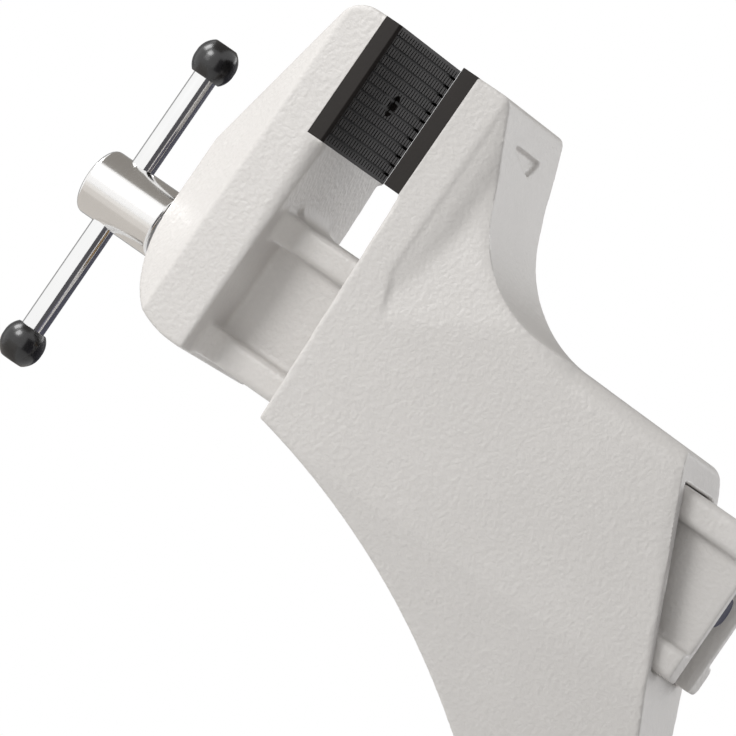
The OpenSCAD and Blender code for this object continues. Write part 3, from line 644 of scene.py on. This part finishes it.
shape = bmesh.new()
relief_angle = math.asin(STUD_RELIEF / BALL_R)
ball_end = arc(shape, shape.verts.new((0, 0, -BALL_R)), (0, 0, 0), math.pi - relief_angle)
relief_z = STUD_THREAD_AT + STUD_PITCH
relief_top = shape.verts.new((STUD_RELIEF, 0, relief_z))
shape.edges.new((ball_end, relief_top))
shape.edges.new((relief_top, shape.verts.new((0, 0, relief_z))))
ball = stood("ball", laid(turned(shape), stud_axis, ball_at))
finish_piece(ball, bright_chrome, "ball_stud", "chrome", "ball_stud")
shape = threaded(STUD_R, STUD_THREAD_AT, STUD_END, STUD_PITCH)
stud_thread = stood("stud_thread", laid(shape, stud_axis, ball_at))
finish_piece(stud_thread, bright_chrome, "ball_stud", "chrome")

shape = bmesh.new()
hex_r = NUT_FLATS / 2 / math.cos(math.radians(30))
face_r = NUT_FLATS / 2 - NUT_FACE_STEP
nut_middle = (NUT_LOW + NUT_HIGH) / 2
bmesh.ops.create_cone(
    shape, cap_ends=True, segments=6, radius1=hex_r, radius2=hex_r, depth=NUT_HIGH - NUT_LOW,
    matrix=Matrix.Translation((0, 0, nut_middle)),
)
lock_nut = stood("lock_nut", laid(shape, stud_axis, ball_at))
blank = turned(profile(
    (STUD_R, nut_middle, 0), (STUD_R, NUT_LOW, 0), (face_r, NUT_LOW, 0),
    (hex_r, NUT_LOW + NUT_CHAMFER, 0), (hex_r, NUT_HIGH - NUT_CHAMFER, 0),
    (face_r, NUT_HIGH, 0), (STUD_R, NUT_HIGH, 0), (STUD_R, nut_middle, 0),
))
cut(lock_nut, laid(blank, stud_axis, ball_at), "INTERSECT")
finish_piece(lock_nut, turned_steel, "ball_stud", "steel", "stud_locknut")

# Ball seat. A turned bronze liner lies in the base's cup under the ball and turns with it.
# Only its rim shows, in the gap under the lock ring.
LINER_EDGE = 0.4 * MM
liner = edged("liner", cad_copy("ball_seat"), LINER_EDGE)
finish_piece(liner, machined_bronze, "ball_seat", "bronze", "ball_seat")

# Lock ring. A fluted steel ring screws down over the cup and grips the ball above its widest point. A bright
# lever with a black knob is screwed into its side.
RING_IN = 31.06 * MM
RING_OUT = 35.56 * MM
RING_LOW = 26 * MM
RING_SHELF = 40.1 * MM
RING_HIGH = 55.82 * MM
RING_FOOT_EDGE = 1.2 * MM
RING_TOP_EDGE = 2.2 * MM
MOUTH_EDGE = 0.5 * MM
MOUTH_R = 22.1 * MM
SEAT_R = 22.3 * MM
MOUTH_ANGLE = math.radians(32)
FLUTE_LOW = 30 * MM
FLUTE_HIGH = 50.5 * MM
FLUTE_DEPTH = 0.7 * MM
FLUTE_EDGE = 0.3 * MM
LEVER_START = 32.1 * MM
LEVER_END = 101.5 * MM
LEVER_R = 4.5 * MM
LEVER_KNOB_R = 9 * MM
LEVER_KNOB_LENGTH = 24 * MM
LEVER_KNOB_AT = 87.56 * MM
LEVER_COLLAR_R = 7.4 * MM
LEVER_COLLAR_LENGTH = 5 * MM
LEVER_COLLAR_EDGE = 0.8 * MM
LEVER_COLLAR_SUNK = 0.3 * MM
shelf_angle = math.asin((RING_SHELF - ball_at.z) / SEAT_R)
shelf_r = SEAT_R * math.cos(shelf_angle)
shape = profile(
    (shelf_r, RING_SHELF, 0), (RING_IN, RING_SHELF, 0), (RING_IN, RING_LOW, 0),
    (RING_OUT, RING_LOW, RING_FOOT_EDGE), (RING_OUT, FLUTE_LOW, 0), (RING_OUT, FLUTE_HIGH, 0),
    (RING_OUT, RING_HIGH, RING_TOP_EDGE), (MOUTH_R, RING_HIGH, MOUTH_EDGE),
    (SEAT_R * math.cos(MOUTH_ANGLE), ball_at.z + SEAT_R * math.sin(MOUTH_ANGLE), 0),
)
arc(shape, shape.verts.new((shelf_r, 0, RING_SHELF)), ball_at, MOUTH_ANGLE - shelf_angle)
turned(shape)
step = math.tau / ROUND_STEPS
wall_middle = (RING_IN + RING_OUT) / 2
flutes = []
for face in shape.faces:
    middle = face.calc_center_median()
    column = math.floor(math.atan2(middle.y, middle.x) / step)
    if FLUTE_LOW < middle.z < FLUTE_HIGH and Vector(middle.xy).length > wall_middle and column % 2:
        flutes.append(face)
bmesh.ops.inset_individual(shape, faces=flutes, thickness=FLUTE_EDGE, depth=-FLUTE_DEPTH)
grip_ring = stood("grip_ring", shape)
finish_piece(grip_ring, turned_steel, "lock_ring", "steel", "lock_ring")

low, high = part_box("lever_knob")
lever_z = (low.z + high.z) / 2
lever_axis = Vector((*((low + high) / 2).xy, 0)).normalized()
lever_root = Vector((0, 0, lever_z))
lever = bar(
    "lever", LEVER_R, LEVER_END - LEVER_START, ROD_EDGE, lever_axis, lever_root + lever_axis * LEVER_START
)
finish_piece(lever, bright_chrome, "lock_ring", "chrome", "lock_lever")
lever_collar = ring(
    "lever_collar", LEVER_R, LEVER_COLLAR_R, LEVER_COLLAR_LENGTH, LEVER_COLLAR_EDGE, lever_axis,
    lever_root + lever_axis * (RING_OUT - FLUTE_DEPTH - LEVER_COLLAR_SUNK),
)
finish_piece(lever_collar, turned_steel, "lock_ring", "steel")
lever_cap = knob(
    "lever_cap", LEVER_KNOB_R, LEVER_KNOB_LENGTH, lever_axis, lever_root + lever_axis * LEVER_KNOB_AT
)
finish_piece(lever_cap, moulded_black, "lock_ring", "black_plastic", "lever_knob")

# Clamp base. A third painted casting has the cup for the ball, the square foot that stands on the bench and
# the frame that reaches round the bench edge. A rubber sheet is glued under the foot.
BENCH_SHEET_EDGE = 0.5 * MM
RUBBER_DARK = (0.014, 0.014, 0.0145)
RUBBER_LIGHT = (0.034, 0.034, 0.035)
matt_rubber, shader, place = new_finish("matt_rubber", IOR=1.5, Specular_IOR_Level=0.3)
grain = 0.5 * place.noise(420) + 0.5 * place.noise(2100)
feed(
    shader,
    Base_Color=grain.between(RUBBER_DARK, RUBBER_LIGHT),
    Roughness=0.6 + 0.22 * grain,
    Normal=bumped(grain, 0.25, 0.15 * MM),
)
base_casting = cast("base_casting", cad_copy("clamp_base"))
thinned(base_casting)
finish_piece(base_casting, hammered_paint, "base", "paint", "clamp_base")
bench_sheet = edged("bench_sheet", cad_copy("bench_pad"), BENCH_SHEET_EDGE)
finish_piece(bench_sheet, matt_rubber, "base", "rubber", "bench_pad")

# Pressure pad. A turned steel shoe swivels on the tip of the clamp screw, with a rubber disc on the face
# that presses the underside of the bench.
TIP_R = 4.5 * MM
TIP_DEPTH = 6.1 * MM
SHOE_NECK = 13 * MM
SHOE_NECK_HIGH = 3.2 * MM
SHOE_GROOVE = 0.5 * MM
SHOE_ROUNDING = 0.8 * MM
SHOE_EDGE = 0.4 * MM
GROOVE_LIP = 0.2 * MM
GROOVE_SHARES = (0.62, 0.66, 0.76, 0.8)
DISC_EDGE = 0.6 * MM
low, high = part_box("pressure_pad")
shoe_r = (high.x - low.x) / 2
shoe_t = high.z - low.z
groove_z = [share * shoe_t for share in GROOVE_SHARES]
shape = turned(profile(
    (0, TIP_DEPTH, 0), (TIP_R + RUN_CLEAR, TIP_DEPTH, 0), (TIP_R + RUN_CLEAR, 0, SHOE_EDGE),
    (SHOE_NECK, 0, SHOE_ROUNDING), (shoe_r, SHOE_NECK_HIGH, SHOE_ROUNDING),
    (shoe_r, groove_z[0], GROOVE_LIP), (shoe_r - SHOE_GROOVE, groove_z[1], 0),
    (shoe_r - SHOE_GROOVE, groove_z[2], 0), (shoe_r, groove_z[3], GROOVE_LIP),
    (shoe_r, shoe_t, SHOE_EDGE), (0, shoe_t, 0),
))
shoe = stood("shoe", laid(shape, ALONG_Z, (0, 0, low.z)))
finish_piece(shoe, turned_steel, "pressure_pad", "steel", "pressure_pad")
low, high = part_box("pressure_rubber")
disc = bar("disc", shoe_r, high.z - low.z, DISC_EDGE, ALONG_Z, (0, 0, low.z))
finish_piece(disc, matt_rubber, "pressure_pad", "rubber", "pressure_rubber")

# Clamp screw. A threaded steel screw, bright plated, comes up through the arm to the pad. Its round head is
# drilled across for a short bar with a black knob on each end.
CLAMP_R = 6 * MM
CLAMP_HEAD_R = 10 * MM
CLAMP_PITCH = 4 * MM
CLAMP_HEAD_EDGE = 1.5 * MM
CLAMP_NECK_STEP = 0.6 * MM
CLAMP_NECK_LENGTH = 3 * MM
CLAMP_PLAY = 0.1 * MM
TIP_EDGE = 0.5 * MM
CLAMP_ROD_EDGE = 0.5 * MM
screw_low, screw_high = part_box("clamp_screw")
pad_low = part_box("pressure_pad")[0].z
bar_low, bar_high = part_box("clamp_bar")
bar_r = (bar_high.x - bar_low.x) / 2
cross_z = (bar_low.z + bar_high.z) / 2
head_top = 2 * cross_z - screw_low.z
shoulder_z = pad_low - CLAMP_PLAY
neck_r = CLAMP_R - CLAMP_NECK_STEP
neck_top = head_top + CLAMP_NECK_LENGTH
shape = turned(profile(
    (0, screw_low.z, 0), (CLAMP_HEAD_R, screw_low.z, CLAMP_HEAD_EDGE),
    (CLAMP_HEAD_R, head_top, CLAMP_HEAD_EDGE), (neck_r, head_top, 0), (neck_r, neck_top, 0), (0, neck_top, 0),
), FINE_STEPS)
clamp_head = stood("clamp_head", shape)
cross_hole(clamp_head, bar_r, CLAMP_HEAD_R, ALONG_Y, (0, 0, cross_z))
finish_piece(clamp_head, bright_chrome, "clamp_screw", "chrome", "clamp_screw")
shape = threaded(CLAMP_R, neck_top - LAP, shoulder_z, CLAMP_PITCH)
finish_piece(stood("clamp_thread", shape), bright_chrome, "clamp_screw", "chrome")
tip_foot = shoulder_z - LAP
clamp_tip = bar("clamp_tip", TIP_R, screw_high.z - tip_foot, TIP_EDGE, ALONG_Z, (0, 0, tip_foot))
finish_piece(clamp_tip, bright_chrome, "clamp_screw", "chrome")

rod_l = bar_high.y - bar_low.y
clamp_rod = bar("clamp_rod", bar_r, rod_l, CLAMP_ROD_EDGE, ALONG_Y, (0, bar_low.y, cross_z))
finish_piece(clamp_rod, bright_chrome, "clamp_bar", "chrome", "clamp_bar")
for end, way in (("near", -1), ("far", 1)):
    low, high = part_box(f"clamp_knob_{end}")
    foot = Vector((0, low.y if way > 0 else high.y, cross_z))
    cap = knob(f"clamp_cap_{end}", (high.x - low.x) / 2, high.y - low.y, way * ALONG_Y, foot)
    finish_piece(cap, moulded_black, "clamp_bar", "black_plastic", f"clamp_knob_{end}")

# Floor. A disc of pale paper well below the clamp screw fades out into the white around it, and keeps the
# object's soft shadow.
FLOOR_DROP = 30 * MM
FLOOR_R = 1.6
FADE_FROM = 0.45 * FLOOR_R
FADE_TO = 0.95 * FLOOR_R
PAPER = (0.86, 0.86, 0.86, 1)
shape = bmesh.new()
bmesh.ops.create_circle(
    shape, cap_ends=True, segments=ROUND_STEPS, radius=FLOOR_R,
    matrix=Matrix.Translation((0, 0, cad_box[0].z - FLOOR_DROP)),
)
floor = stood("floor", shape)
floor_paper = bpy.data.materials.new("floor_paper")
floor_paper.use_nodes = True
tree = floor_paper.node_tree
place = Socket(tree, tree.nodes.new("ShaderNodeTexCoord").outputs["Object"])
reach = place.node("ShaderNodeVectorMath", {0: place}, output="Value", operation="LENGTH")
fade = place.node("ShaderNodeMapRange", {"Value": reach, "From Min": FADE_FROM, "From Max": FADE_TO})
paper = place.node("ShaderNodeBsdfDiffuse", {"Color": PAPER})
clear = place.node("ShaderNodeBsdfTransparent", {})
mixed = place.node("ShaderNodeMixShader", {0: fade, 1: paper, 2: clear})
tree.links.new(mixed.output, tree.nodes["Material Output"].inputs["Surface"])
floor.data.materials.append(floor_paper)

# Light. A white room lights the object evenly. One soft box stands before the near side, one to its left and
# one behind, and glowing grey cards that only glossy rays see paint reflections on the metal, its dark
# streaks among them.
ROOM = 0.47
CARD_STEPS = 32
world = bpy.data.worlds.new("white_room")
bpy.context.scene.world = world
world.use_nodes = True
tree = world.node_tree
path = tree.nodes.new("ShaderNodeLightPath")
seen = sum(
    (Socket(tree, path.outputs[f"Is {ray} Ray"]) for ray in ("Glossy", "Transmission")),
    Socket(tree, path.outputs["Is Camera Ray"]),
)
level = seen.node("ShaderNodeMapRange", {"Value": seen, "To Min": ROOM, "To Max": 1.0})
tree.nodes["Background"].inputs["Color"].default_value = (1, 1, 1, 1)
tree.links.new(level.output, tree.nodes["Background"].inputs["Strength"])
head_middle = Vector((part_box("fixed_jaw_plate")[1].x, 0, screw_z))


def soft_box(name, towards, distance, size, watts):
    """A square lamp that faces the head."""
    lamp = bpy.data.lights.new(name, "AREA")
    lamp.size = size
    lamp.energy = watts
    holder = bpy.data.objects.new(name, lamp)
    bpy.context.scene.collection.objects.link(holder)
    holder.location = head_middle + Vector(towards).normalized() * distance
    holder.rotation_euler = (head_middle - holder.location).to_track_quat("-Z", "Y").to_euler()


soft_box("key_box", towards=(-0.55, -0.76, 0.35), distance=1.1, size=0.45, watts=5.4)
soft_box("side_box", towards=(-0.85, -0.2, 0.5), distance=1.1, size=0.45, watts=4.6)
soft_box("rear_box", towards=(0.42, 0.85, 0.32), distance=1.5, size=1.0, watts=8.5)


def reflection_card(name, colour, ends, axis, start, stop):
    """A glowing card bent round the head, swept about an axis between two angles, that only glossy rays see:
    a painted reflection.
    """
    shape = bmesh.new()
    edge = shape.edges.new([shape.verts.new(head_middle + Vector(end)) for end in ends])
    bmesh.ops.rotate(
        shape, verts=shape.verts, cent=head_middle, matrix=Matrix.Rotation(math.radians(start), 3, axis)
    )
    bmesh.ops.spin(
        shape, geom=[*edge.verts, edge], cent=head_middle, axis=axis, angle=math.radians(stop - start),
        steps=CARD_STEPS,
    )
    card = stood(name, shape)
    reflection_glow = bpy.data.materials.new(name)
    reflection_glow.use_nodes = True
    glow = reflection_glow.node_tree.nodes["Principled BSDF"]
    # The card glows in its own colour and shows only in glossy rays: a painted reflection, not a lamp.
    glow.inputs["Base Color"].default_value = (0, 0, 0, 1)
    glow.inputs["Specular IOR Level"].default_value = 0
    glow.inputs["Emission Color"].default_value = (*colour, 1)
    glow.inputs["Emission Strength"].default_value = 1
    card.data.materials.append(reflection_glow)
    for ray in ("camera", "diffuse", "shadow", "transmission", "volume_scatter"):
        setattr(card, f"visible_{ray}", False)


SIDE_ENDS = ((0.9, 0, -0.63), (0.9, 0, 0.54))
TOP_ENDS = ((-0.77, -0.85, 0), (0.05, -0.85, 0))
LOW_ENDS = ((-0.5, -0.3, 0), (-0.06, -0.3, 0))
reflection_card("card_right", (0.085, 0.083, 0.09), SIDE_ENDS, ALONG_Z, start=-64, stop=-22)
reflection_card("card_blue", (0.14, 0.135, 0.18), SIDE_ENDS, ALONG_Z, start=-22, stop=4)
reflection_card("card_rear", (0.07, 0.07, 0.09), SIDE_ENDS, ALONG_Z, start=4, stop=104)
reflection_card("card_left", (0.35, 0.35, 0.35), SIDE_ENDS, ALONG_Z, start=112, stop=165)
reflection_card("card_top", (0.27, 0.255, 0.235), TOP_ENDS, -ALONG_X, start=54, stop=170)
reflection_card("card_front", (0.84, 0.82, 0.79), LOW_ENDS, -ALONG_X, start=-34, stop=-22)
reflection_card("card_under", (0.7, 0.67, 0.635), LOW_ENDS, -ALONG_X, start=-54, stop=-34)
reflection_card("card_low", (0.58, 0.55, 0.515), LOW_ENDS, -ALONG_X, start=-150, stop=-54)

# Camera. It looks level at the near side from a little to the rear, through a long lens, and is turned in its
# mount as the photograph is.
TURN = math.radians(20)
ROLL = math.radians(34.5)
RISE = math.radians(0.8)
CAMERA_FAR = 3.0
SENSOR_W = 36
CLIP_FAR = 50
FRAME_W = 262.9 * MM
AIM = Vector((-167.1, 0, 186.5)) * MM
back = Vector((math.sin(TURN) * math.cos(RISE), -math.cos(TURN) * math.cos(RISE), math.sin(RISE)))
level_right = Vector((math.cos(TURN), math.sin(TURN), 0))
level_up = back.cross(level_right)
right = math.cos(ROLL) * level_right + math.sin(ROLL) * level_up
up = math.cos(ROLL) * level_up - math.sin(ROLL) * level_right
lens = bpy.data.cameras.new("camera")
lens.sensor_width = SENSOR_W
lens.lens = SENSOR_W * CAMERA_FAR / FRAME_W
lens.clip_end = CLIP_FAR
camera = bpy.data.objects.new("camera", lens)
bpy.context.scene.collection.objects.link(camera)
facing = Matrix((right, up, back)).transposed().to_4x4()
camera.matrix_world = Matrix.Translation(AIM + back * CAMERA_FAR) @ facing
bpy.context.scene.camera = camera
bpy.context.scene.view_settings.view_transform = "Standard"
